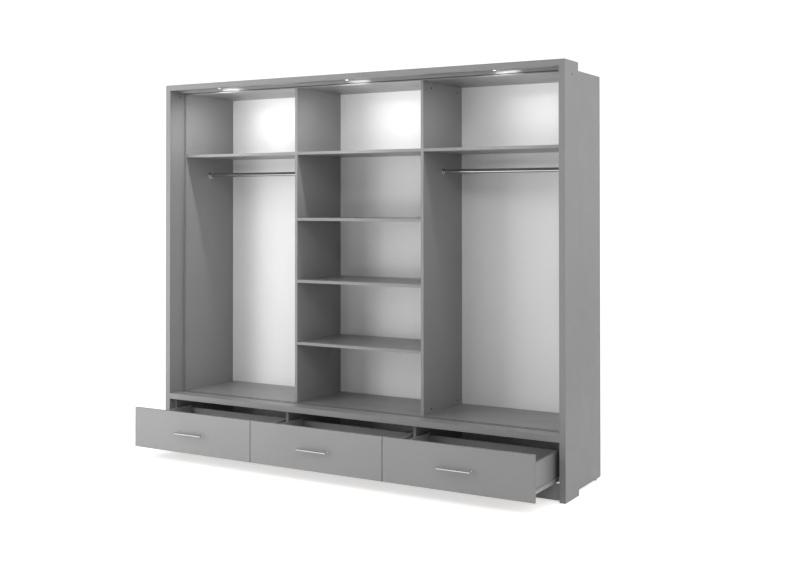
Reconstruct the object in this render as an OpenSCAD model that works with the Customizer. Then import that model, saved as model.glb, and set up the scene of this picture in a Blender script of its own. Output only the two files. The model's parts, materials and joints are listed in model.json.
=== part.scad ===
// Three-bay wardrobe for sliding doors: a thick portal frame around a laminated-board
// cabinet, with shelves, two hanging rails, door tracks, spotlights and three drawers.
// Millimetres. +Z is up, +X runs to the right, and -Y is the front, towards the user.
// The origin is on the floor, under the middle of the whole part with its drawers out.

/* [Overall size] */
// Width over the portal frame
width = 2500; // [1900:10:2800]
// Height to the top of the portal frame
height = 2150; // [1950:10:2400]
// Depth from the front of the portal frame to the back
depth = 600; // [560:10:700]

/* [Portal frame] */
// Thickness of the portal frame's boards
portal_thk = 32; // [28:1:38]
// Depth of the uprights and of the header
portal_depth = 185; // [160:5:220]
// Height of the sill's top above the floor
sill_top = 322; // [316:1:340]

/* [Cabinet] */
// Thickness of the laminated boards
board = 16; // [15:1:18]
// Thickness of the back panels
back_thk = 3; // [3:0.5:4]
// Distance from the portal's front to the cabinet's front
cabinet_front = 130; // [126:1:145]
// Clear height under the cabinet's boards
foot_height = 8; // [6:1:12]
// Width of the middle bay between its partitions
middle_bay = 790; // [600:10:900]

/* [Shelves and rails] */
// Height of the top shelves' upper faces
top_shelf_z = 1740; // [1700:5:1800]
// Height of the lowest middle shelf's upper face
low_shelf_z = 664; // [600:1:700]
// Distance between the middle shelves
shelf_pitch = 351; // [300:1:360]
// Height of the hanging rails' centre line
rail_z = 1622; // [1560:1:1650]
// Outer diameter of the hanging rails
rail_d = 25; // [20:1:30]
// Wall thickness of the hanging rails
rail_wall = 1.5; // [1:0.1:2]

/* [Door tracks] */
// Distance from the portal's front to the tracks' front edge
track_front = 81; // [70:1:81]
// Width of each double track
track_width = 48; // [44:1:48]
// Height of the upper track
upper_track_h = 12; // [8:1:14]
// Height of the lower track
lower_track_h = 7; // [6:1:8]

/* [Drawers] */
// How far the drawers are drawn out
drawer_open = 305; // [0:5:335]
// Bottom edge of the drawer fronts above the floor
front_z = 64; // [60:1:70]
// Height of the drawer fronts
front_h = 223; // [210:1:224]
// Gap beside and between the drawer fronts
front_gap = 4; // [2:0.5:5]
// Thickness of the drawer boxes' boards
box_board = 12; // [10:1:14]
// Length of the drawer boxes' sides
box_len = 450; // [400:10:460]
// Bottom edge of the drawer boxes' sides above the floor
box_z = 90; // [90:1:94]
// Height of the drawer boxes' sides
box_h = 144; // [110:1:150]
// Room for a runner between a drawer box and the cabinet
runner_gap = 12.5; // [12.5:0.1:13.5]

/* [Handles] */
// Diameter of the handles' bars
bar_d = 12; // [8:1:14]
// Length of the handles' bars
bar_len = 178; // [170:1:220]
// Distance between the handles' posts
post_pitch = 160; // [96:32:160]
// How far the handles stand out from the drawer fronts
handle_reach = 35; // [28:1:40]

/* [Spotlights] */
// Distance from the middle spotlight to the outer ones
led_pitch = 870; // [600:10:900]
// Distance from the portal's front to the spotlights
led_y = 24; // [20:1:50]
// Outer diameter of a spotlight
led_d = 24; // [20:1:40]

/* [Hidden] */
$fn = 48;
clear = 0.2;
front_y = (drawer_open + handle_reach - depth) / 2;

// Faces of the portal frame and of the cabinet
portal_in = width / 2 - portal_thk;
cabinet_in = portal_in - board;
mid_in = middle_bay / 2;
mid_out = mid_in + board;
header_z = height - portal_thk;
top_panel_z = header_z - board;
sill_z = sill_top - portal_thk;
deck_top = sill_top - 2;
deck_z = deck_top - board;
back_y = depth - back_thk;
back_seam = 1;

// Bays from left to right: the faces that the shelves and the drawers lie between
BAYS = [[-cabinet_in, -mid_out], [-mid_in, mid_in], [mid_out, cabinet_in]];

// Shelves: bay number and height of the upper face
TOP_SHELVES = [[0, top_shelf_z], [2, top_shelf_z]];
MID_SHELVES = concat([[1, top_shelf_z]], [for (i = [2 : -1 : 0]) [1, low_shelf_z + i * shelf_pitch]]);
shelf_play = 0.5;
shelf_pin_r = 2.5;
shelf_pin_out = 8;
shelf_pin_in = 7.5;
shelf_pin_inset = 45;

// Lower front of the cabinet
plinth_y = 20;
plinth_z = 6;
plinth_top = 85;
divider_front = 43;

// Hanging rails and their sockets
rail_y = (cabinet_front + back_y) / 2;
socket_flange_r = 20;
socket_flange = 3;
socket_len = 14;
socket_wall = 3;

// Door tracks
track_fin = 2;
groove_w = 8;
groove_depth = 5;
track_lift = 1;
track_mid = track_front + track_width / 2;
track_lanes = [track_mid - track_width / 4 + track_fin / 4, track_mid + track_width / 4 - track_fin / 4];

// Fittings
cam_r = 6;
cam_depth = 9;
cam_front = 92;
cam_back = 61;
cam_top = 34;
cam_bottom = 26;
bolt_y = 95;
bolt_z = header_z - 34;
bolt_r = 3;
bolt_head_r = 5;
bolt_head = 1.5;
foot_r = 8;
foot_back = 65;
foot_front = 27;

// Spotlights
led_depth = 9;
led_lip = 2;
led_rim = 4;
lens_thk = 3;

// Drawers
front_w = (2 * portal_in - 4 * front_gap) / 3;
box_front = board;
box_back = box_front + box_len;
bottom_thk = 3;
bottom_z = box_z + 12;
groove_in = 6;
back_drop = 14;

// Runners: the cabinet's channel, the drawer's angle and their rollers
steel = 1.2;
channel_z = box_z - 2;
channel_h = 26;
channel_w = 10;
channel_front = 45;
channel_len = 450;
roller_r = 10;
roller_w = 6.5;
axle_r = 2;
angle_h = 20;
flange_w = 8;
rear_roller_r = 11;
rear_roller_in = 14;

// Colours
GREY = "#96989a";
PALE = "#e4e5e6";
STEEL = "#c9cbcd";
DARK = "#3a3b3d";

// ---- helpers ----

// Moves what is drawn from the portal's front plane into the part's own frame
module placed() {
    translate([0, front_y, 0]) children();
}

// The same, for what moves with a drawer
module drawn_out() {
    translate([0, front_y - drawer_open, 0]) children();
}

// A box from its low corner to its high corner
module block(low, high) {
    translate(low) cube(high - low);
}

// A cylinder along +X that starts at a point
module rod_x(start, r, len) {
    translate(start) rotate([0, 90, 0]) cylinder(r = r, h = len);
}

// Mirrors a right-hand shape to the left when side is -1
module on_side(side) {
    if (side > 0) children();
    else mirror([1, 0, 0]) children();
}

// ---- portal frame ----

module upright() {
    difference() {
        block([portal_in, 0, 0], [width / 2, portal_depth, height]);
        rod_x([portal_in - 1, bolt_y, bolt_z], bolt_r + clear / 2, portal_thk + 2);
        for (x = [portal_in - 1, width / 2 - bolt_head])
            rod_x([x, bolt_y, bolt_z], bolt_head_r + clear / 2, bolt_head + 1);
    }
}

module upright_left() {
    color(GREY) placed() on_side(-1) upright();
}

module upright_right() {
    color(GREY) placed() on_side(1) upright();
}

module header_board() {
    color(GREY) placed() difference() {
        block([-portal_in, 0, header_z], [portal_in, portal_depth, height]);
        for (i = [-1 : 1])
            translate([i * led_pitch, led_y, header_z - 1])
                cylinder(r = led_d / 2 - led_lip + clear / 2, h = led_depth + 1);
    }
}

module sill_board() {
    color(GREY) placed() difference() {
        block([-portal_in, 0, sill_z], [portal_in, cabinet_front, sill_top]);
        block(
            [-portal_in - 1, track_front, sill_top + track_lift - lower_track_h],
            [portal_in + 1, track_front + track_width, sill_top + 1]
        );
    }
}

module track_upper() {
    low = header_z - upper_track_h;
    lane = (track_width - 3 * track_fin) / 2;
    color(STEEL) placed() difference() {
        block([-portal_in, track_front, low], [portal_in, track_front + track_width, header_z]);
        for (i = [0, 1])
            translate([-portal_in - 1, track_front + track_fin + i * (lane + track_fin), low - 1])
                cube([2 * portal_in + 2, lane, upper_track_h - track_fin + 1]);
    }
}

module track_lower() {
    top = sill_top + track_lift;
    color(STEEL) placed() difference() {
        block(
            [-portal_in, track_front, top - lower_track_h],
            [portal_in, track_front + track_width, top]
        );
        for (lane = track_lanes)
            translate([-portal_in - 1, lane - groove_w / 2, top - groove_depth])
                cube([2 * portal_in + 2, groove_w, groove_depth + 1]);
    }
}

module plinth_board() {
    color(GREY) placed()
        block([-portal_in, plinth_y, plinth_z], [portal_in, plinth_y + board, plinth_top]);
}

// ---- cabinet ----

// Heights of the pins under the shelves of a bay
function pin_heights(bay) =
    [for (s = concat(TOP_SHELVES, MID_SHELVES)) if (s[0] == bay) s[1] - board - shelf_pin_r];

// Positions of the front and of the back row of pins
function pin_rows() = [cabinet_front + shelf_pin_inset, back_y - shelf_pin_inset];

// Holes for a bay's pins, drilled from a face along +X (dir 1) or -X (dir -1)
module pin_holes(face_x, dir, bay) {
    for (z = pin_heights(bay), y = pin_rows())
        rod_x([dir > 0 ? face_x : face_x - shelf_pin_in - 0.5, y, z], shelf_pin_r + clear / 2,
            shelf_pin_in + 0.5);
}

module side_panel(bay) {
    difference() {
        block([cabinet_in, cabinet_front, foot_height], [portal_in, back_y, header_z]);
        pin_holes(cabinet_in, 1, bay);
    }
}

module side_panel_left() {
    color(GREY) placed() on_side(-1) side_panel(0);
}

module side_panel_right() {
    color(GREY) placed() on_side(1) side_panel(2);
}

module top_panel() {
    color(GREY) placed()
        block([-cabinet_in, cabinet_front, top_panel_z], [cabinet_in, back_y, header_z]);
}

module deck_panel() {
    color(GREY) placed()
        block([-cabinet_in, cabinet_front, deck_z], [cabinet_in, back_y, deck_top]);
}

// Cam positions on a partition's outer face, as depth and height
CAMS = [
    for (y = [cabinet_front + cam_front, back_y - cam_back])
        for (z = [deck_top + cam_bottom, top_panel_z - cam_top]) [y, z]
];

module partition(outer_bay) {
    difference() {
        block([mid_in, cabinet_front, deck_top], [mid_out, back_y, top_panel_z]);
        pin_holes(mid_in, 1, 1);
        pin_holes(mid_out, -1, outer_bay);
        for (c = CAMS)
            rod_x([mid_out - cam_depth - clear, c[0], c[1]], cam_r + clear / 2, cam_depth + 1);
    }
}

module partition_left() {
    color(GREY) placed() on_side(-1) partition(0);
}

module partition_right() {
    color(GREY) placed() on_side(1) partition(2);
}

// A drawer divider is notched at its top for the sill
module drawer_divider() {
    translate([mid_in, 0, 0]) rotate([90, 0, 90]) linear_extrude(board) polygon([
        [divider_front, foot_height],
        [back_y, foot_height],
        [back_y, deck_z],
        [cabinet_front, deck_z],
        [cabinet_front, sill_z],
        [divider_front, sill_z]
    ]);
}

module drawer_divider_left() {
    color(GREY) placed() on_side(-1) drawer_divider();
}

module drawer_divider_right() {
    color(GREY) placed() on_side(1) drawer_divider();
}

// Fills the step between the upright and the cabinet's side, where the outer runners begin
module runner_block() {
    block([cabinet_in, divider_front, foot_height], [portal_in, cabinet_front, sill_z]);
}

module runner_block_left() {
    color(GREY) placed() on_side(-1) runner_block();
}

module runner_block_right() {
    color(GREY) placed() on_side(1) runner_block();
}

module back_panel(x_low, x_high) {
    color(PALE) placed()
        block([x_low, back_y, foot_height + 2], [x_high, depth, header_z - 2]);
}

module back_panel_left() {
    back_panel(-portal_in + 2, -mid_in - board / 2 - back_seam / 2);
}

module back_panel_middle() {
    back_panel(-mid_in - board / 2 + back_seam / 2, mid_in + board / 2 - back_seam / 2);
}

module back_panel_right() {
    back_panel(mid_in + board / 2 + back_seam / 2, portal_in - 2);
}

// ---- shelves, rails and fittings ----

module shelf(entry) {
    x_low = BAYS[entry[0]][0] + shelf_play;
    x_high = BAYS[entry[0]][1] - shelf_play;
    color(GREY) placed()
        block([x_low, cabinet_front, entry[1] - board], [x_high, back_y - 1, entry[1]]);
}

module hanging_rail(bay) {
    x_low = BAYS[bay][0] + socket_flange + 1;
    len = BAYS[bay][1] - BAYS[bay][0] - 2 * (socket_flange + 1);
    color(STEEL) placed() difference() {
        rod_x([x_low, rail_y, rail_z], rail_d / 2, len);
        rod_x([x_low - 1, rail_y, rail_z], rail_d / 2 - rail_wall, len + 2);
    }
}

// A rail socket with its flange on a panel's face, drawn along +X
module rail_socket() {
    difference() {
        union() {
            rod_x([0, 0, 0], socket_flange_r, socket_flange);
            rod_x([0, 0, 0], rail_d / 2 + socket_wall, socket_len);
        }
        rod_x([socket_flange, 0, 0], rail_d / 2 + clear / 2, socket_len);
    }
}

module rail_sockets() {
    color(STEEL) placed() for (bay = [0, 2]) {
        translate([BAYS[bay][0], rail_y, rail_z]) rail_socket();
        translate([BAYS[bay][1], rail_y, rail_z]) mirror([1, 0, 0]) rail_socket();
    }
}

module led_housings() {
    color(STEEL) placed() for (i = [-1 : 1])
        translate([i * led_pitch, led_y, header_z]) difference() {
            union() {
                translate([0, 0, -led_lip]) cylinder(r = led_d / 2, h = led_lip);
                cylinder(r = led_d / 2 - led_lip, h = led_depth - clear);
            }
            translate([0, 0, -led_lip - 1]) cylinder(r = led_d / 2 - led_rim, h = lens_thk + 1);
        }
}

module led_lenses() {
    color("white") placed() for (i = [-1 : 1])
        translate([i * led_pitch, led_y, header_z - led_lip])
            cylinder(r = led_d / 2 - led_rim - clear / 2, h = lens_thk - clear);
}

module cam_fittings() {
    slot_w = 1.6;
    color(DARK) placed() for (side = [-1, 1], c = CAMS) on_side(side)
        translate([mid_out - cam_depth, c[0], c[1]]) difference() {
            rod_x([0, 0, 0], cam_r, cam_depth);
            for (turn = [0, 90])
                translate([cam_depth - 1.5, 0, 0]) rotate([turn, 0, 0])
                    translate([0, -cam_r * 0.6, -slot_w / 2]) cube([2, cam_r * 1.2, slot_w]);
        }
}

module portal_bolts() {
    color(DARK) placed() for (side = [-1, 1]) on_side(side) translate([0, bolt_y, bolt_z]) {
        rod_x([portal_in, 0, 0], bolt_head_r, bolt_head);
        rod_x([portal_in + bolt_head / 2, 0, 0], bolt_r, portal_thk - bolt_head);
        rod_x([width / 2 - bolt_head, 0, 0], bolt_head_r, bolt_head);
    }
}

module shelf_pins() {
    color(STEEL) placed() for (bay = [0 : 2], z = pin_heights(bay), y = pin_rows()) {
        rod_x([BAYS[bay][0] - shelf_pin_in, y, z], shelf_pin_r, shelf_pin_in + shelf_pin_out);
        rod_x([BAYS[bay][1] - shelf_pin_out, y, z], shelf_pin_r, shelf_pin_in + shelf_pin_out);
    }
}

module glide_feet() {
    side_x = cabinet_in + board / 2;
    mid_x = mid_in + board / 2;
    color(DARK) placed() for (side = [-1, 1]) on_side(side) {
        for (x = [side_x, mid_x])
            translate([x, back_y - foot_back, 0]) cylinder(r = foot_r, h = foot_height);
        translate([side_x, cabinet_front + foot_front, 0]) cylinder(r = foot_r, h = foot_height);
        translate([mid_x, divider_front + foot_front, 0]) cylinder(r = foot_r, h = foot_height);
    }
}

// ---- runners ----

// A roller along +X with a bore for its axle
module roller(r) {
    difference() {
        rod_x([0, 0, 0], r, roller_w);
        rod_x([-1, 0, 0], axle_r + clear / 2, roller_w + 2);
    }
}

// The cabinet's channel for one side, with the cabinet's face at x = 0 and the drawer at -x
module bay_channel() {
    roller_y = channel_front + roller_r + 1;
    flange_front = channel_front + 2 * roller_r + 4;
    channel_back = channel_front + channel_len;
    roller_top = box_z + angle_h - steel - 0.3;
    block([-steel, channel_front, channel_z], [0, channel_back, channel_z + channel_h]);
    for (z = [channel_z, channel_z + channel_h - steel])
        block([-channel_w, flange_front, z], [-steel, channel_back, z + steel]);
    translate([-steel - 0.5 - roller_w, roller_y, roller_top - roller_r]) roller(roller_r);
    rod_x([-steel - roller_w - 1.5, roller_y, roller_top - roller_r], axle_r, roller_w + 1.5);
}

module bay_runners(bay) {
    color(STEEL) placed() {
        translate([BAYS[bay][1], 0, 0]) bay_channel();
        translate([BAYS[bay][0], 0, 0]) mirror([1, 0, 0]) bay_channel();
    }
}

module bay_runners_left() {
    bay_runners(0);
}

module bay_runners_middle() {
    bay_runners(1);
}

module bay_runners_right() {
    bay_runners(2);
}

// The drawer's angle for one side, with the drawer side's outer face at x = 0
module drawer_angle() {
    roller_y = box_back - rear_roller_in;
    roller_z = channel_z + channel_h / 2;
    block([0, box_front + 2, box_z - steel], [steel, box_back, box_z + angle_h]);
    block([-box_board, box_front + 2, box_z - steel], [0, box_back, box_z]);
    block(
        [steel, box_front + 2, box_z + angle_h - steel],
        [steel + flange_w, box_back - 2 * rear_roller_r - 8, box_z + angle_h]
    );
    translate([steel + 0.6, roller_y, roller_z]) roller(rear_roller_r);
    rod_x([steel, roller_y, roller_z], axle_r, roller_w + 1.4);
}

module drawer_runners(bay) {
    color(STEEL) drawn_out() {
        translate([BAYS[bay][1] - runner_gap, 0, 0]) drawer_angle();
        translate([BAYS[bay][0] + runner_gap, 0, 0]) mirror([1, 0, 0]) drawer_angle();
    }
}

// ---- drawers ----

// Left edge of a drawer front
function front_x(bay) = -portal_in + front_gap + bay * (front_w + front_gap);

module drawer_front(bay) {
    color(GREY) drawn_out()
        block([front_x(bay), 0, front_z], [front_x(bay) + front_w, board, front_z + front_h]);
}

// A drawer side with its outer face at x = 0, running inwards along -X
module drawer_side() {
    difference() {
        block([-box_board, box_front, box_z], [0, box_back, box_z + box_h]);
        block(
            [-box_board - 1, box_front - 1, bottom_z - clear / 2],
            [groove_in - box_board, box_back + 1, bottom_z + bottom_thk + clear / 2]
        );
    }
}

module drawer_side_l(bay) {
    color(GREY) drawn_out()
        translate([BAYS[bay][0] + runner_gap, 0, 0]) mirror([1, 0, 0]) drawer_side();
}

module drawer_side_r(bay) {
    color(GREY) drawn_out() translate([BAYS[bay][1] - runner_gap, 0, 0]) drawer_side();
}

module drawer_back(bay) {
    inset = runner_gap + box_board;
    color(GREY) drawn_out() block(
        [BAYS[bay][0] + inset, box_back - box_board, bottom_z + bottom_thk + clear],
        [BAYS[bay][1] - inset, box_back, box_z + box_h - back_drop]
    );
}

module drawer_bottom(bay) {
    inset = runner_gap + box_board - groove_in + 0.5;
    color(PALE) drawn_out() block(
        [BAYS[bay][0] + inset, box_front, bottom_z],
        [BAYS[bay][1] - inset, box_back, bottom_z + bottom_thk]
    );
}

module drawer_handle(bay) {
    bar_y = bar_d / 2 - handle_reach;
    post_r = bar_d / 2 - 2;
    color(STEEL) drawn_out() translate([front_x(bay) + front_w / 2, 0, front_z + front_h / 2]) {
        rod_x([-bar_len / 2, bar_y, 0], bar_d / 2, bar_len);
        for (side = [-1, 1])
            translate([side * post_pitch / 2, 0, 0]) rotate([90, 0, 0])
                cylinder(r = post_r, h = -bar_y);
    }
}

upright_left();
upright_right();
header_board();
sill_board();
track_upper();
track_lower();
plinth_board();
side_panel_left();
side_panel_right();
top_panel();
deck_panel();
partition_left();
partition_right();
drawer_divider_left();
drawer_divider_right();
runner_block_left();
runner_block_right();
back_panel_left();
back_panel_middle();
back_panel_right();
shelf(TOP_SHELVES[0]);  // shelf_left_top
shelf(TOP_SHELVES[1]);  // shelf_right_top
shelf(MID_SHELVES[0]);  // shelf_middle_1
shelf(MID_SHELVES[1]);  // shelf_middle_2
shelf(MID_SHELVES[2]);  // shelf_middle_3
shelf(MID_SHELVES[3]);  // shelf_middle_4
hanging_rail(0);  // hanging_rail_left
hanging_rail(2);  // hanging_rail_right
rail_sockets();
led_housings();
led_lenses();
cam_fittings();
portal_bolts();
shelf_pins();
glide_feet();
bay_runners_left();
bay_runners_middle();
bay_runners_right();
drawer_front(0);  // drawer_left_front
drawer_side_l(0);  // drawer_left_side_l
drawer_side_r(0);  // drawer_left_side_r
drawer_back(0);  // drawer_left_back
drawer_bottom(0);  // drawer_left_bottom
drawer_handle(0);  // drawer_left_handle
drawer_runners(0);  // drawer_left_runners
drawer_front(1);  // drawer_middle_front
drawer_side_l(1);  // drawer_middle_side_l
drawer_side_r(1);  // drawer_middle_side_r
drawer_back(1);  // drawer_middle_back
drawer_bottom(1);  // drawer_middle_bottom
drawer_handle(1);  // drawer_middle_handle
drawer_runners(1);  // drawer_middle_runners
drawer_front(2);  // drawer_right_front
drawer_side_l(2);  // drawer_right_side_l
drawer_side_r(2);  // drawer_right_side_r
drawer_back(2);  // drawer_right_back
drawer_bottom(2);  // drawer_right_bottom
drawer_handle(2);  // drawer_right_handle
drawer_runners(2);  // drawer_right_runners
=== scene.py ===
"""The looks of a three-bay wardrobe for sliding doors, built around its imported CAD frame.

Metres, in the frame's own axes: +X right, -Y the front, +Z up, the floor at Z = 0.
Boards are softened copies of the CAD boards, with laminated faces, banded edges and bare chipboard
where a board is cut. Fittings are turned from profiles at the places of their CAD solids.
"""

import json
import math

import bmesh
import bpy
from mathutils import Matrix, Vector

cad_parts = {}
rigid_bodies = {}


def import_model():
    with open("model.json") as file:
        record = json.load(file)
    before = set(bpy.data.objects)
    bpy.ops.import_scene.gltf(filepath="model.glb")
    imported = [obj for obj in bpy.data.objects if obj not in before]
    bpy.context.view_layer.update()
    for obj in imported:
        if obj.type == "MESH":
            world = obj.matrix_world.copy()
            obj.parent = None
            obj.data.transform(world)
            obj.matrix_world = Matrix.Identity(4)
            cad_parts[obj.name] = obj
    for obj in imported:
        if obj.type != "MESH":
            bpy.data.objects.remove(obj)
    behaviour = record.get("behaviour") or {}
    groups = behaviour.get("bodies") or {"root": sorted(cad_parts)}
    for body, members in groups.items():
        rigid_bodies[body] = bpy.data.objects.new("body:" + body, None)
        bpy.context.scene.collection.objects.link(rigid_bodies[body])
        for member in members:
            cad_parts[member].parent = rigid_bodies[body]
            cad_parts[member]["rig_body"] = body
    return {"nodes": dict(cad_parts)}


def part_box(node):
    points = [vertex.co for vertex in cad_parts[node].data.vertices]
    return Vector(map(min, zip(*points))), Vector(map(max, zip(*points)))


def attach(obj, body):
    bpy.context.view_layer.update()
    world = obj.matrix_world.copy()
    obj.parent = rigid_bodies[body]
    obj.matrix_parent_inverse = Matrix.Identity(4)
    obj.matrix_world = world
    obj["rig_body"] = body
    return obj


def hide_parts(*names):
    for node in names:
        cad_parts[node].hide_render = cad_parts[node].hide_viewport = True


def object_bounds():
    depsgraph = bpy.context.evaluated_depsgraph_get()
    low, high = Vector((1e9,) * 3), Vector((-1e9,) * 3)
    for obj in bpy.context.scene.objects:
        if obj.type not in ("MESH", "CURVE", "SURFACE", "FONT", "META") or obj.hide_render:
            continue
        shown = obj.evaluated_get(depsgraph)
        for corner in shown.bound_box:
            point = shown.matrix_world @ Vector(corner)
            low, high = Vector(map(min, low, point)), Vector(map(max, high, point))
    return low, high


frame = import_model()
cad_low, cad_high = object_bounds()
NODES = frame["nodes"]

MM = 0.001
BAYS = ("left", "middle", "right")
X, Y, Z = Vector((1, 0, 0)), Vector((0, 1, 0)), Vector((0, 0, 1))


# ---- camera ----

EYE = Vector((3.2495, -5.4203, 1.448))
TURN_LEFT = 0.5461
TILT_UP = 0.0118
SENSOR = 36.0
LENS = 52.3
SHIFT_X = 0.058
SHIFT_Y = -0.124
FARTHEST = 60


def make_camera():
    data = bpy.data.cameras.new("camera")
    data.sensor_width = SENSOR
    data.lens = LENS
    data.shift_x = SHIFT_X
    data.shift_y = SHIFT_Y
    data.clip_end = FARTHEST
    camera = bpy.data.objects.new("camera", data)
    camera.location = EYE
    camera.rotation_euler = (math.pi / 2 + TILT_UP, 0, TURN_LEFT)
    bpy.context.scene.collection.objects.link(camera)
    bpy.context.scene.camera = camera


# ---- materials ----


def add_node(tree, kind, inputs, **settings):
    """A shader node with its settings and its inputs, each a plain value or another node's output."""
    node = tree.nodes.new("ShaderNode" + kind)
    for name, value in settings.items():
        setattr(node, name, value)
    for name, value in inputs.items():
        if isinstance(value, bpy.types.NodeSocket):
            tree.links.new(value, node.inputs[name])
        else:
            node.inputs[name].default_value = value
    return node


def new_material(name, **surface):
    """A material, its node tree and its Principled shader, with plain values set on the shader."""
    material = bpy.data.materials.new(name)
    material.use_nodes = True
    tree = material.node_tree
    shader = tree.nodes["Principled BSDF"]
    for socket, value in surface.items():
        shader.inputs[socket.replace("_", " ")].default_value = value
    return material, tree, shader


def noise(tree, scale, detail=2.0, roughness=0.5, stretch=(1, 1, 1)):
    """The value of a noise over the piece's own coordinates, in metres; scale counts per metre."""
    place = add_node(tree, "TexCoord", {}).outputs["Object"]
    stretched = add_node(tree, "Mapping", {"Vector": place, "Scale": stretch}).outputs["Vector"]
    inputs = {"Vector": stretched, "Scale": scale, "Detail": detail, "Roughness": roughness}
    return add_node(tree, "TexNoise", inputs).outputs["Fac"]


def ramp(tree, value, stops):
    """A colour ramp over a value; stops are (position, colour)."""
    node = add_node(tree, "ValToRGB", {"Fac": value})
    elements = node.color_ramp.elements
    while len(elements) < len(stops):
        elements.new(0.5)
    for element, (position, colour) in zip(elements, stops):
        element.position = position
        element.color = (*colour, 1)
    return node.outputs["Color"]


def spread(tree, value, low, high):
    """A value from 0.25 to 0.75, where a noise mostly lies, turned into one from low to high."""
    inputs = {"Value": value, "From Min": 0.25, "From Max": 0.75, "To Min": low, "To Max": high}
    return add_node(tree, "MapRange", inputs).outputs["Result"]


def shade(colour, factor):
    """A colour made darker or lighter by a factor."""
    return tuple(min(1.0, part * factor) for part in colour)


def multiply(tree, first, second):
    """Two colours multiplied. A Mix node has its colour inputs at 6 and 7, and its colour output at 2."""
    inputs = {0: 1, 6: first, 7: second}
    return add_node(tree, "Mix", inputs, data_type="RGBA", blend_type="MULTIPLY").outputs[2]


def bump(tree, shader, height, strength, distance):
    """Gives a shader a fine relief from a height, with the relief's strength and depth."""
    inputs = {"Height": height, "Strength": strength, "Distance": distance}
    normal = add_node(tree, "Bump", inputs).outputs["Normal"]
    tree.links.new(normal, shader.inputs["Normal"])


def varied(name, colour, cloud, fleck, rough, grain, relief, stretch=(1, 1, 1), **surface):
    """A finish with slow clouds and fine flecks of colour, uneven gloss and a fine relief.

    cloud and fleck are (scale, amount); rough is (low, high); grain is a scale and relief the
    bump's strength and depth.
    """
    material, tree, shader = new_material(name, **surface)
    slow = noise(tree, cloud[0], detail=3, stretch=stretch)
    tone = ramp(tree, slow, [(0.3, shade(colour, 1 - cloud[1])), (0.7, shade(colour, 1 + cloud[1]))])
    fine = noise(tree, fleck[0], detail=2, roughness=0.7, stretch=stretch)
    dots = ramp(tree, fine, [(0.35, (1 - fleck[1],) * 3), (0.65, (1.0,) * 3)])
    tree.links.new(multiply(tree, tone, dots), shader.inputs["Base Color"])
    gloss = noise(tree, cloud[0] * 3, detail=4, roughness=0.6, stretch=stretch)
    tree.links.new(spread(tree, gloss, *rough), shader.inputs["Roughness"])
    bump(tree, shader, noise(tree, grain, detail=3, stretch=stretch), *relief)
    return material


CHIPS = 330.0


def chipboard(name):
    """Pressed wood chips of about 3 mm, as seen on a board's bare edge."""
    material, tree, shader = new_material(name, Roughness=0.85)
    place = add_node(tree, "TexCoord", {}).outputs["Object"]
    chips = add_node(tree, "TexVoronoi", {"Vector": place, "Scale": CHIPS, "Randomness": 1.0})
    tint = add_node(tree, "SeparateColor", {"Color": chips.outputs["Color"]}).outputs["Red"]
    wood = [(0.0, (0.30, 0.20, 0.11)), (0.5, (0.47, 0.34, 0.21)), (1.0, (0.60, 0.47, 0.31))]
    fibre = ramp(tree, noise(tree, 1600, detail=3), [(0.3, (0.8,) * 3), (0.7, (1.0,) * 3)])
    tree.links.new(multiply(tree, ramp(tree, tint, wood), fibre), shader.inputs["Base Color"])
    bump(tree, shader, chips.outputs["Distance"], 0.5, 0.4 * MM)
    return material


def glowing(name, colour, strength):
    """A frosted lens lit from inside, with the faint cells of its diffuser."""
    material, tree, shader = new_material(name, Emission_Strength=strength, Roughness=0.35)
    shader.inputs["Emission Color"].default_value = (*colour, 1)
    cells = noise(tree, 900, detail=1)
    tree.links.new(ramp(tree, cells, [(0.3, (0.9,) * 3), (0.7, (1.0,) * 3)]), shader.inputs["Base Color"])
    bump(tree, shader, cells, 0.2, 0.2 * MM)
    return material


GREY = (0.26, 0.26, 0.26)
EDGE_GREY = (0.245, 0.245, 0.245)
ALONG_X = (0.01, 1, 1)

laminate = varied("laminate", GREY, (2.2, 0.03), (750, 0.10), (0.30, 0.40), 620, (0.20, 0.15 * MM))
edge_band = varied("edge_band", EDGE_GREY, (5, 0.02), (750, 0.06), (0.48, 0.58), 500, (0.15, 0.15 * MM))
bare_chipboard = chipboard("bare_chipboard")
pale_lacquer = varied(
    "pale_lacquer", (0.85, 0.85, 0.85), (3, 0.012), (1100, 0.02), (0.34, 0.44), 700, (0.06, 0.2 * MM)
)
bare_hardboard = varied(
    "bare_hardboard", (0.33, 0.235, 0.15), (6, 0.08), (420, 0.25), (0.7, 0.85), 350, (0.35, 0.3 * MM)
)
chrome = varied(
    "chrome", (0.58, 0.58, 0.585), (9, 0.02), (600, 0.03), (0.10, 0.18), 900, (0.02, 0.1 * MM), Metallic=1.0
)
satin_steel = varied(
    "satin_steel", (0.90, 0.90, 0.90), (14, 0.02), (900, 0.06), (0.06, 0.11), 1500, (0.05, 0.1 * MM),
    stretch=ALONG_X, Metallic=1.0
)
coated_steel = varied(
    "coated_steel", (0.40, 0.40, 0.405), (12, 0.03), (700, 0.05), (0.32, 0.42), 1200, (0.12, 0.1 * MM),
    Coat_Weight=0.15
)
nylon = varied("nylon", (0.78, 0.77, 0.74), (25, 0.03), (800, 0.04), (0.38, 0.5), 900, (0.08, 0.1 * MM))
anodised = varied(
    "anodised", (0.30, 0.30, 0.302), (6, 0.02), (1300, 0.06), (0.36, 0.46), 1500, (0.12, 0.1 * MM),
    stretch=ALONG_X, Metallic=0.3
)
# Painted shade: a near-black finish for the faces inside the track grooves, standing in for the shade that
# falls there
painted_groove_shade = varied(
    "painted_groove_shade", (0.045, 0.045, 0.044), (18, 0.25), (900, 0.3), (0.3, 0.5), 1100, (0.2, 0.1 * MM),
    stretch=(0.05, 1, 1), Metallic=0.2
)
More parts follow.
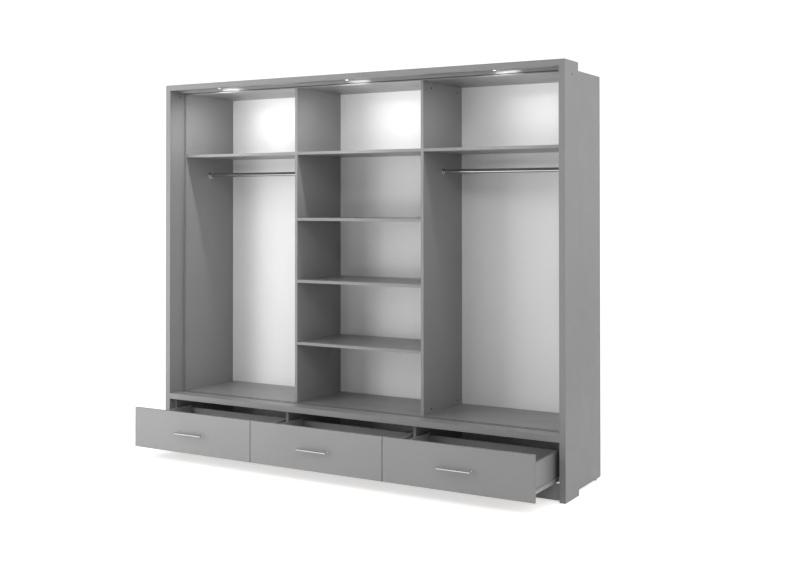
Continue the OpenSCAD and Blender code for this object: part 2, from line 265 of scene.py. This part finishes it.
spot_rim = varied(
    "spot_rim", (0.72, 0.73, 0.74), (30, 0.02), (900, 0.05), (0.25, 0.35), 1500, (0.06, 0.1 * MM),
    Metallic=1.0
)
zinc = varied(
    "zinc", (0.55, 0.56, 0.58), (30, 0.05), (500, 0.15), (0.35, 0.5), 900, (0.2, 0.1 * MM), Metallic=1.0
)
dark_zinc = varied(
    "dark_zinc", (0.028, 0.028, 0.029), (40, 0.08), (600, 0.2), (0.4, 0.55), 900, (0.2, 0.1 * MM),
    Metallic=0.4
)
black_plastic = varied(
    "black_plastic", (0.028, 0.028, 0.03), (30, 0.08), (700, 0.1), (0.45, 0.6), 900, (0.25, 0.1 * MM)
)
lens = glowing("lens", (1.0, 0.99, 0.97), 6.0)


# ---- shapes ----

# Points closer than this are one point, and faces that meet at less than FLAT are one face
MERGE = 0.01 * MM
FLAT = math.radians(0.5)
# Edges that turn more than SHARP are rounded, and those under SMOOTH_UNDER are shaded smooth
SHARP = math.radians(30)
SMOOTH_UNDER = math.radians(15)
# A face less than this inside its node's box is on the outside of the board
ON_BOX = 1.5 * MM
# The arms of a cross recess are this part of its radius, to each side of their middle
ARM = 0.24


def cad_shape(node):
    """A copy of a CAD node's shape, with its doubled points merged and its flat faces made whole."""
    shape = bmesh.new()
    shape.from_mesh(NODES[node].data)
    bmesh.ops.remove_doubles(shape, verts=shape.verts, dist=MERGE)
    bmesh.ops.dissolve_limit(shape, angle_limit=FLAT, verts=shape.verts, edges=shape.edges)
    return shape


def solids(shape):
    """The separate solids of a shape: each a list of points with its low and high corner."""
    left, found = set(shape.verts), []
    while left:
        reach, points = [left.pop()], []
        while reach:
            point = reach.pop()
            points.append(point)
            near = [edge.other_vert(point) for edge in point.link_edges]
            reach += [other for other in near if other in left]
            left.difference_update(near)
        low = Vector([min(point.co[axis] for point in points) for axis in range(3)])
        high = Vector([max(point.co[axis] for point in points) for axis in range(3)])
        found.append((points, low, high))
    return sorted(found, key=lambda solid: tuple(round(part, 4) for part in solid[1]))


def cad_solids(node):
    """The low and high corner of each separate solid in a CAD node."""
    shape = cad_shape(node)
    boxes = [(low, high) for points, low, high in solids(shape)]
    shape.free()
    return boxes


def soften(shape, width):
    """Rounds every sharp edge of a shape."""
    sharp = [edge for edge in shape.edges if edge.is_manifold and edge.calc_face_angle() > SHARP]
    bmesh.ops.bevel(
        shape, geom=sharp, offset=width, segments=2, profile=0.5, affect="EDGES", clamp_overlap=True
    )


def make_piece(name, shape, materials, body, nodes=()):
    """Turns a shape into a piece that rides on a body, and stands for CAD nodes if any are given."""
    mesh = bpy.data.meshes.new(name)
    shape.to_mesh(mesh)
    shape.free()
    normals = mesh.attributes.get("custom_normal")
    if normals:
        mesh.attributes.remove(normals)
    for material in materials:
        mesh.materials.append(material)
    mesh.shade_smooth()
    mesh.set_sharp_from_angle(angle=SMOOTH_UNDER)
    piece = bpy.data.objects.new(name, mesh)
    bpy.context.scene.collection.objects.link(piece)
    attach(piece, body)
    if nodes:
        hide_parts(*nodes)


def across(axis):
    """Two directions at right angles to an axis, which make a right-handed set with it."""
    side = Z if abs(axis.z) < 0.5 else X
    first = side.cross(axis).normalized()
    return first, axis.cross(first)


def outline(kind, angle, radius):
    """Distance from the centre to an outline: round, hexagonal, or a cross with narrow arms."""
    if kind == "hex":
        step = math.pi / 3
        return radius * math.cos(step / 2) / math.cos(angle % step - step / 2)
    if kind == "cross":
        nearest = min(abs(math.cos(angle)), abs(math.sin(angle)))
        return min(radius, ARM * radius / max(nearest, 0.01))
    return radius


def turn(shape, start, axis, profile, sides=32, material=0):
    """Adds a turned solid along an axis: the profile's rings are (distance, radius) or
    (distance, radius, outline), and its two ends are closed."""
    first, second = across(axis)
    rings = []
    for along, radius, *kind in profile:
        ring = []
        for step in range(sides):
            angle = 2 * math.pi * step / sides
            reach = outline(kind[0] if kind else "round", angle, radius)
            offset = first * math.cos(angle) + second * math.sin(angle)
            ring.append(shape.verts.new(start + axis * along + offset * reach))
        rings.append(ring)
    faces = [shape.faces.new(rings[0][::-1]), shape.faces.new(rings[-1])]
    for near, far in zip(rings, rings[1:]):
        for step in range(sides):
            after = (step + 1) % sides
            faces.append(shape.faces.new((near[step], near[after], far[after], far[step])))
    for face in faces:
        face.material_index = material
    bmesh.ops.recalc_face_normals(shape, faces=faces)


# ---- boards ----

BOARD_ROUND = 0.5 * MM
SHEET_ROUND = 0.3 * MM
LAMINATED, BANDED, BARE = 0, 1, 2

# Sides of each board that are bare chipboard; its other narrow sides are banded
BARE_SIDES = {
    "upright": "-z",
    "header_board": "-x +x",
    "sill_board": "-x +x +y",
    "plinth_board": "-x +x -z",
    "side_panel": "+y -z +z",
    "top_panel": "-x +x +y",
    "deck_panel": "-x +x +y",
    "partition": "+y -z +z",
    "drawer_divider": "+y -z +z",
    "runner_block": "+y -z +z",
    "shelf": "-x +x +y",
    "drawer_front": "",
    "drawer_side": "-y +y -z",
    "drawer_back": "-x +x -z",
}


def board_kind(node):
    """The key of BARE_SIDES for a board's node, or None if the node isn't a board."""
    plain = node
    for bay in BAYS:
        plain = plain.replace(f"drawer_{bay}_", "drawer_")
    for kind in BARE_SIDES:
        if plain.startswith(kind):
            return kind
    return None


def facing(face):
    """The axis that a face looks along, and whether it looks towards its positive end."""
    axis = max(range(3), key=lambda k: abs(face.normal[k]))
    return axis, face.normal[axis] > 0


def depth_inside(face, low, high):
    """How far a face lies inside the side of the box that it looks towards."""
    axis, forward = facing(face)
    place = face.calc_center_median()[axis]
    return high[axis] - place if forward else place - low[axis]


def finish_of(face, low, high, thin, bare):
    """What a board's face is: a laminated face, a banded edge, or bare chipboard."""
    axis, forward = facing(face)
    if depth_inside(face, low, high) > ON_BOX:
        return BARE
    if axis == thin:
        return LAMINATED
    return BARE if ("+" if forward else "-") + "xyz"[axis] in bare else BANDED


def make_board(node, kind):
    shape = cad_shape(node)
    soften(shape, BOARD_ROUND)
    low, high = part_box(node)
    size = high - low
    thin = min(range(3), key=lambda k: size[k])
    for face in shape.faces:
        face.material_index = finish_of(face, low, high, thin, BARE_SIDES[kind].split())
    body = NODES[node]["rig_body"]
    materials = [laminate, edge_band, bare_chipboard]
    make_piece(f"{node}_board", shape, materials, body, [node])


def make_boards():
    for node in NODES:
        kind = board_kind(node)
        if kind:
            make_board(node, kind)


# A sheet's face is its inner one when it looks away from the sheet's outward direction by this much
INWARD = -0.5


def make_sheets():
    """Back panels and drawer bottoms: lacquered on the inside and bare on the outside."""
    outward = {"back_panel": Y, "bottom": -Z}
    for node in NODES:
        found = [direction for name, direction in outward.items() if name in node]
        if not found:
            continue
        shape = cad_shape(node)
        soften(shape, SHEET_ROUND)
        for face in shape.faces:
            face.material_index = 1 if face.normal.dot(found[0]) > INWARD else 0
        body = NODES[node]["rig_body"]
        make_piece(f"{node}_sheet", shape, [pale_lacquer, bare_hardboard], body, [node])


# ---- metalwork ----

TRACK_ROUND = 0.25 * MM
RUNNER_ROUND = 0.3 * MM
ROLLER_SIZE = 18 * MM
ROLLER_EASE = 0.6 * MM
ROLLER_WEB = 0.9 * MM


def make_tracks():
    """The door tracks, bright outside, with painted shade: a near-black finish on the faces inside their
    grooves, where shade falls.
    """
    for node in ("track_upper", "track_lower"):
        shape = cad_shape(node)
        soften(shape, TRACK_ROUND)
        low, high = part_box(node)
        for face in shape.faces:
            # Faces deep inside the track's box, in its grooves, get the painted shade
            face.material_index = 1 if depth_inside(face, low, high) > ON_BOX else 0
        materials = [anodised, painted_groove_shade]
        make_piece(f"{node}_extrusion", shape, materials, "cabinet", [node])


def roller_profile(radius, width):
    """A nylon roller with eased rims and a hub that stands a little above its web."""
    hub = 0.45 * radius
    side = [
        (0, 0.22 * radius), (0, hub), (ROLLER_WEB, hub), (ROLLER_WEB, radius - 2 * MM),
        (0, radius - 1.4 * MM), (0, radius - ROLLER_EASE), (ROLLER_EASE, radius),
    ]
    return side + [(width - along, reach) for along, reach in reversed(side)]


def is_roller(low, high):
    """Whether a solid is as tall as it is deep, and big enough to be a roller."""
    size = high - low
    return abs(size.y - size.z) < MM and size.y > ROLLER_SIZE


def make_runners():
    """The runners' steel, with turned nylon rollers in place of the plain ones."""
    for node in NODES:
        if "runners" not in node:
            continue
        shape = cad_shape(node)
        rollers = [solid for solid in solids(shape) if is_roller(solid[1], solid[2])]
        for points, low, high in rollers:
            bmesh.ops.delete(shape, geom=points, context="VERTS")
        soften(shape, RUNNER_ROUND)
        for points, low, high in rollers:
            middle = (low + high) / 2
            start = Vector((low.x, middle.y, middle.z))
            profile = roller_profile((high.z - low.z) / 2, high.x - low.x)
            turn(shape, start, X, profile, material=1)
        body = NODES[node]["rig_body"]
        make_piece(f"{node}_set", shape, [coated_steel, nylon], body, [node])


POST_PITCH = 160 * MM
POST_RADIUS = 4 * MM
POST_FOOT = 5.4 * MM
POST_TOP = 4.6 * MM


def bar_profile(length, radius):
    """A bar with turned, eased ends."""
    end = [
        (0, radius - 1.4 * MM), (0.25 * MM, radius - 0.7 * MM), (0.8 * MM, radius - 0.2 * MM),
        (1.6 * MM, radius),
    ]
    return end + [(length - along, reach) for along, reach in reversed(end)]


def post_profile(length, radius):
    """A post with a wider foot on the drawer's front, which widens again into a bar of a radius."""
    return [
        (0, POST_FOOT), (1.2 * MM, POST_FOOT), (1.6 * MM, 5 * MM), (2.2 * MM, POST_RADIUS),
        (length - radius - 1.5 * MM, POST_RADIUS), (length - radius + MM, POST_TOP), (length, POST_TOP),
    ]


def make_handles():
    """A round bar on two posts for each drawer."""
    for bay in BAYS:
        node = f"drawer_{bay}_handle"
        low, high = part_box(node)
        radius = (high.z - low.z) / 2
        middle = Vector(((low.x + high.x) / 2, low.y + radius, (low.z + high.z) / 2))
        shape = bmesh.new()
        start = Vector((low.x, middle.y, middle.z))
        turn(shape, start, X, bar_profile(high.x - low.x, radius), sides=40)
        for side in (-1, 1):
            foot = Vector((middle.x + side * POST_PITCH / 2, high.y, middle.z))
            turn(shape, foot, -Y, post_profile(high.y - middle.y, radius), sides=28)
        make_piece(f"{node}_bar", shape, [satin_steel], f"drawer_{bay}", [node])


FLANGE_WIDTH = 4.5 * MM
FLANGE_THICK = 3 * MM
CUP_WALL = 2.9 * MM


def socket_profile(depth, radius):
    """A flange on the panel and a cup for the rail, which is bored down to the flange."""
    cup = radius - FLANGE_WIDTH
    bore = cup - CUP_WALL
    return [
        (0, radius), (2.2 * MM, radius), (2.8 * MM, radius - 0.5 * MM), (FLANGE_THICK, radius - 1.2 * MM),
        (FLANGE_THICK, cup + 0.8 * MM), (3.8 * MM, cup), (depth - 0.8 * MM, cup), (depth, cup - 0.6 * MM),
        (depth, bore + 0.6 * MM), (depth - 0.6 * MM, bore), (3.2 * MM, bore),
    ]


def make_sockets():
    """Cups that hold the hanging rails, each facing the middle of its rail."""
    shape = bmesh.new()
    for low, high in cad_solids("rail_sockets"):
        middle = (low + high) / 2
        rail_low, rail_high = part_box("hanging_rail_left" if middle.x < 0 else "hanging_rail_right")
        on_left = middle.x < (rail_low.x + rail_high.x) / 2
        start = Vector((low.x if on_left else high.x, middle.y, middle.z))
        profile = socket_profile(high.x - low.x, (high.z - low.z) / 2)
        turn(shape, start, X if on_left else -X, profile, sides=48)
    make_piece("rail_socket_cups", shape, [chrome], "cabinet", ["rail_sockets"])


RIM_OUT = 2 * MM
RIM_WIDTH = 4 * MM
RIM_THICK = 2 * MM
POCKET_DEPTH = 2.9 * MM
LENS_RISE = 0.9 * MM
LENS_STEPS = [math.radians(degrees) for degrees in (0, 20, 40, 60, 75, 86)]


def rim_profile(under, rim):
    """A spotlight's body up in the header, its rim under the board, and the pocket of its lens."""
    body, pocket = rim - RIM_OUT, rim - RIM_WIDTH
    return [
        (0, body), (under - RIM_THICK, body), (under - RIM_THICK, rim), (under - 0.5 * MM, rim),
        (under, rim - 0.6 * MM), (under, pocket + 0.5 * MM), (under - 0.4 * MM, pocket),
        (under - POCKET_DEPTH, pocket),
    ]


def lens_profile(thick, radius):
    """A lens with a low dome on its underside."""
    edge = thick - LENS_RISE
    return [(0, radius)] + [(edge + LENS_RISE * math.sin(a), radius * math.cos(a)) for a in LENS_STEPS]


def make_spotlights():
    """Spotlight rims and lenses under the header."""
    rims, lenses = bmesh.new(), bmesh.new()
    for shape, node, profile_of in (
        (rims, "led_housings", rim_profile),
        (lenses, "led_lenses", lens_profile),
    ):
        for low, high in cad_solids(node):
            middle = (low + high) / 2
            start = Vector((middle.x, middle.y, high.z))
            turn(shape, start, -Z, profile_of(high.z - low.z, (high.x - low.x) / 2), sides=48)
    make_piece("spotlight_rims", rims, [spot_rim], "cabinet", ["led_housings"])
    make_piece("spotlight_lenses", lenses, [lens], "cabinet", ["led_lenses"])


# ---- small fittings ----

CAM_EASE = 0.4 * MM
CAM_RIM = 0.5 * MM
CAM_RECESS = 3 * MM


def make_cams():
    """Zinc cams in the partitions, each with a raised rim and a cross recess."""
    shape = bmesh.new()
    for low, high in cad_solids("cam_fittings"):
        middle = (low + high) / 2
        radius, depth = (high.z - low.z) / 2, high.x - low.x
        outward = X if middle.x > 0 else -X
        start = Vector((low.x if middle.x > 0 else high.x, middle.y, middle.z))
        profile = [
            (0, radius), (depth - CAM_EASE, radius), (depth, radius - CAM_EASE),
            (depth, radius - 1.1 * MM), (depth - CAM_RIM, radius - 1.3 * MM),
            (depth - CAM_RIM, 0.6 * radius, "cross"), (depth - CAM_RECESS, 0.5 * radius, "cross"),
        ]
        turn(shape, start, outward, profile, sides=48)
    make_piece("partition_cams", shape, [dark_zinc], "cabinet", ["cam_fittings"])


BOLT_SHANK = 3 * MM
BOLT_HEAD = 1.5 * MM
BOLT_KEY = 2.9 * MM
BOLT_SOCKET = 1.4 * MM


def bolt_profile(reach, head):
    """Half a bolt: its shank from the middle of the board, and its flush head with a hexagon socket."""
    return [
        (0, BOLT_SHANK), (reach - BOLT_HEAD, BOLT_SHANK), (reach - BOLT_HEAD, head),
        (reach - 0.3 * MM, head), (reach, head - 0.4 * MM), (reach, BOLT_KEY, "hex"),
        (reach - BOLT_SOCKET, BOLT_KEY, "hex"),
    ]


def make_bolts():
    """Bolts through the uprights, each made as two halves that meet in the middle of the board."""
    shape = bmesh.new()
    for low, high in cad_solids("portal_bolts"):
        middle = (low + high) / 2
        for start, axis in ((low.x, -X), (high.x, X)):
            at = Vector((start, middle.y, middle.z)) - axis * (high.x - low.x) / 2
            turn(shape, at, axis, bolt_profile((high.x - low.x) / 2, (high.z - low.z) / 2), sides=36)
    make_piece("upright_bolts", shape, [dark_zinc], "cabinet", ["portal_bolts"])


PIN_EASE = 0.5 * MM


def make_pins():
    """Shelf pins with eased ends."""
    shape = bmesh.new()
    for low, high in cad_solids("shelf_pins"):
        middle = (low + high) / 2
        radius, length = (high.z - low.z) / 2, high.x - low.x
        profile = [
            (0, radius - PIN_EASE), (PIN_EASE, radius),
            (length - PIN_EASE, radius), (length, radius - PIN_EASE),
        ]
        turn(shape, Vector((low.x, middle.y, middle.z)), X, profile, sides=24)
    make_piece("shelf_support_pins", shape, [zinc], "cabinet", ["shelf_pins"])


GLIDE_FLANGE = 1.5 * MM


def make_glides():
    """Moulded glides under the boards, rounded where they meet the floor."""
    shape = bmesh.new()
    for low, high in cad_solids("glide_feet"):
        middle = (low + high) / 2
        radius, tall = (high.x - low.x) / 2, high.z - low.z
        profile = [
            (0, radius), (GLIDE_FLANGE, radius), (GLIDE_FLANGE, radius - MM), (tall - 2 * MM, radius - MM),
            (tall - 0.7 * MM, radius - 1.7 * MM), (tall, radius - 3 * MM),
        ]
        turn(shape, Vector((middle.x, middle.y, high.z)), -Z, profile)
    make_piece("moulded_glides", shape, [black_plastic], "cabinet", ["glide_feet"])


SCREW_HEAD = 4 * MM
SCREW_RISE = 0.6 * SCREW_HEAD
SCREW_PROFILE = [
    (0, SCREW_HEAD), (0.35 * SCREW_RISE, SCREW_HEAD), (0.75 * SCREW_RISE, 0.86 * SCREW_HEAD),
    (SCREW_RISE, 0.62 * SCREW_HEAD), (SCREW_RISE, 0.5 * SCREW_HEAD, "cross"),
    (0.35 * SCREW_RISE, 0.4 * SCREW_HEAD, "cross"),
]


def make_handle_screws():
    """The two pan-head screws that hold each handle, seen inside its drawer."""
    for bay in BAYS:
        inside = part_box(f"drawer_{bay}_front")[1].y
        low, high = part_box(f"drawer_{bay}_handle")
        shape = bmesh.new()
        for side in (-1, 1):
            at = Vector(((low.x + high.x) / 2 + side * POST_PITCH / 2, inside, (low.z + high.z) / 2))
            turn(shape, at, Y, SCREW_PROFILE)
        make_piece(f"drawer_{bay}_handle_screws", shape, [zinc], f"drawer_{bay}")


NAIL_PITCH = 140 * MM
NAIL_HEAD = 2.2 * MM
NAIL_CROWN = 1.6 * MM
NAIL_RISE = 0.3 * MM
NAIL_SUNK = MM
NAIL_INSET = 4 * MM
NAIL_TO_CORNER_X = 60 * MM
NAIL_TO_CORNER_Z = 25 * MM


def spaced(low, high, pitch):
    """Evenly spaced places between two ends, both included, about a pitch apart."""
    count = max(1, round((high - low) / pitch))
    return [low + (high - low) * step / count for step in range(count + 1)]


def make_nails():
    """Nails round each back panel, into the board behind each of its edges."""
    profile = [(0, NAIL_HEAD), (NAIL_SUNK, NAIL_HEAD), (NAIL_SUNK + NAIL_RISE, NAIL_CROWN)]
    boards = [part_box(node) for node in ("top_panel", "deck_panel")]
    rows = [(low.z + high.z) / 2 for low, high in boards]
    shape = bmesh.new()
    for bay in BAYS:
        low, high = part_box(f"back_panel_{bay}")
        columns = (low.x + NAIL_INSET, high.x - NAIL_INSET)
        heights = spaced(low.z + NAIL_TO_CORNER_Z, high.z - NAIL_TO_CORNER_Z, NAIL_PITCH)
        along = spaced(low.x + NAIL_TO_CORNER_X, high.x - NAIL_TO_CORNER_X, NAIL_PITCH)
        places = [(x, z) for x in columns for z in heights] + [(x, z) for z in rows for x in along]
        for x, z in places:
            turn(shape, Vector((x, cad_high.y - NAIL_SUNK, z)), Y, profile, sides=12)
    make_piece("back_panel_nails", shape, [zinc], "cabinet")


# ---- stage ----

FLOOR_SIZE = 60
FLOOR_TONE = (0.82, 0.82, 0.82, 1)
# The light that the floor adds where it is seen by the camera, and where gloss mirrors it
FLOOR_SEEN = 0.6
FLOOR_MIRRORED = 0.2
WHITE = (1, 1, 1, 1)


def make_floor():
    """A plain pale floor, drawn and mirrored light enough for the white studio behind it."""
    bpy.ops.mesh.primitive_plane_add(size=FLOOR_SIZE)
    floor = bpy.context.object
    floor.name = "studio_floor"
    material, tree, shader = new_material("studio_floor", Roughness=0.9)
    shader.inputs["Base Color"].default_value = FLOOR_TONE
    ray = add_node(tree, "LightPath", {}).outputs
    inputs = {0: ray["Is Glossy Ray"], 1: FLOOR_MIRRORED}
    mirrored = add_node(tree, "Math", inputs, operation="MULTIPLY").outputs[0]
    inputs = {0: ray["Is Camera Ray"], 1: FLOOR_SEEN, 2: mirrored}
    strength = add_node(tree, "Math", inputs, operation="MULTIPLY_ADD").outputs[0]
    lift = add_node(tree, "Emission", {"Color": WHITE, "Strength": strength})
    both = add_node(tree, "AddShader", {0: shader.outputs[0], 1: lift.outputs[0]})
    output = tree.nodes["Material Output"]
    tree.links.new(both.outputs[0], output.inputs["Surface"])
    floor.data.materials.append(material)


# Half the width of a zone's soft edge, as a cosine
SOFT_EDGE = 0.3


def zone(tree, way, centre, edge):
    """A soft-edged part of the surround, round a direction: 1 inside it and 0 outside."""
    inputs = {0: way, 1: Vector(centre).normalized()}
    toward = add_node(tree, "VectorMath", inputs, operation="DOT_PRODUCT")
    low, high = edge - SOFT_EDGE, edge + SOFT_EDGE
    inputs = {"Value": toward.outputs["Value"], "From Min": low, "From Max": high}
    return add_node(tree, "MapRange", inputs, interpolation_type="SMOOTHSTEP").outputs["Result"]


def make_world(zones, backdrop):
    """A studio surround with soft bright zones, drawn as a plain white backdrop.

    Each zone is (direction, cosine at its edge, strength).
    """
    world = bpy.data.worlds.new("studio")
    bpy.context.scene.world = world
    world.use_nodes = True
    tree = world.node_tree
    way = add_node(tree, "TexCoord", {}).outputs["Generated"]
    total = 0.0
    for centre, edge, strength in zones:
        inputs = {0: zone(tree, way, centre, edge), 1: strength, 2: total}
        total = add_node(tree, "Math", inputs, operation="MULTIPLY_ADD").outputs[0]
    seen = add_node(tree, "LightPath", {}).outputs["Is Camera Ray"]
    inputs = {"Value": seen, "To Min": total, "To Max": backdrop}
    strength = add_node(tree, "MapRange", inputs).outputs["Result"]
    tree.links.new(strength, tree.nodes["Background"].inputs["Strength"])
    tree.nodes["Background"].inputs["Color"].default_value = WHITE


def area_light(name, place, target, size, power):
    """An area light that faces a target, and is neither drawn itself nor mirrored in gloss."""
    data = bpy.data.lights.new(name, "AREA")
    data.shape = "RECTANGLE"
    data.size, data.size_y = size
    data.energy = power
    light = bpy.data.objects.new(name, data)
    light.location = place
    light.rotation_euler = (Vector(target) - Vector(place)).to_track_quat("-Z", "Y").to_euler()
    light.visible_camera = False
    light.visible_glossy = False
    bpy.context.scene.collection.objects.link(light)
    return light


SPOT_AIM = Vector((0, 0.5, -1))
SPOT_SIZE = 24 * MM
SPOT_DROP = 40 * MM


def spot_lights(powers):
    """The light each spotlight throws down and a little inwards, from left to right."""
    for number, (power, (low, high)) in enumerate(zip(powers, cad_solids("led_housings"))):
        middle = (low + high) / 2
        place = Vector((middle.x, middle.y, low.z - SPOT_DROP))
        area_light(f"spot_light_{number}", place, place + SPOT_AIM, (SPOT_SIZE, SPOT_SIZE), power)


POOL_SIZE = (120 * MM, 3 * MM)
POOL_SHIFT = 45 * MM
POOL_BACK = 60 * MM
POOL_DROP = 4 * MM
POOL_AIM_DROP = 24 * MM
POOL_SPREAD = math.radians(60)


def spot_pools(power):
    """The long pool of light beside each spotlight, on the front of the upper track."""
    front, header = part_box("track_upper")[0].y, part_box("header_board")[0].z
    for number, (low, high) in enumerate(cad_solids("led_lenses")):
        middle = (low + high) / 2
        place = Vector((middle.x + POOL_SHIFT, front - POOL_BACK, header - POOL_DROP))
        target = Vector((place.x, front, header - POOL_AIM_DROP))
        pool = area_light(f"spot_pool_{number}", place, target, POOL_SIZE, power)
        pool.data.spread = POOL_SPREAD


# The bright parts of the studio: direction, cosine at the edge, strength
SURROUND = [
    ((0, 0, 1), 0.55, 0.28),
    ((1, 0, 0.15), 0.5, 0.9),
    ((-1, 0.3, 0.1), 0.6, 0.12),
    ((0, 1, 0.1), 0.5, 0.9),
]


BACKDROP = 1.1
SPOT_POWERS = (2.7, 2.7, 2.0)
POOL_POWER = 0.08

# The studio's lights: name, place, target, width and height, power
LIGHTS = [
    ("key", (-2.2, -2.4, 1.4), (-0.9, 0, 1.1), (0.8, 2.6), 30),
    ("outer_key", (-3.0, -1.9, 1.4), (-1.0, 0, 1.1), (0.8, 2.6), 18),
    ("left_fill", (-2.4, -4.2, 1.4), (-0.5, 0, 1.1), (1.2, 2.8), 64),
    ("low_fill", (-0.6, -4.4, 0.5), (0.5, 0.3, 1.3), (1.4, 0.6), 22),
    ("right_fill", (4.4, -4.2, 1.6), (0.3, 0, 1.1), (1.4, 2.4), 5),
    ("left_top", (-1.5, -3.0, 3.8), (0, 0.3, 0.8), (1.6, 0.8), 19),
    ("right_top", (2.2, -3.4, 3.4), (0.7, 0.3, 0.9), (1.0, 1.0), 30),
]


def make_stage():
    make_floor()
    make_world(SURROUND, BACKDROP)
    for light in LIGHTS:
        area_light(*light)
    spot_lights(SPOT_POWERS)
    spot_pools(POOL_POWER)
    bpy.context.scene.view_settings.view_transform = "Standard"


make_camera()
make_stage()
make_boards()
make_sheets()
make_tracks()
make_runners()
make_handles()
make_sockets()
make_spotlights()
make_cams()
make_bolts()
make_pins()
make_glides()
make_handle_screws()
make_nails()

for rail in ("hanging_rail_left", "hanging_rail_right"):
    NODES[rail].data.materials.clear()
    NODES[rail].data.materials.append(chrome)
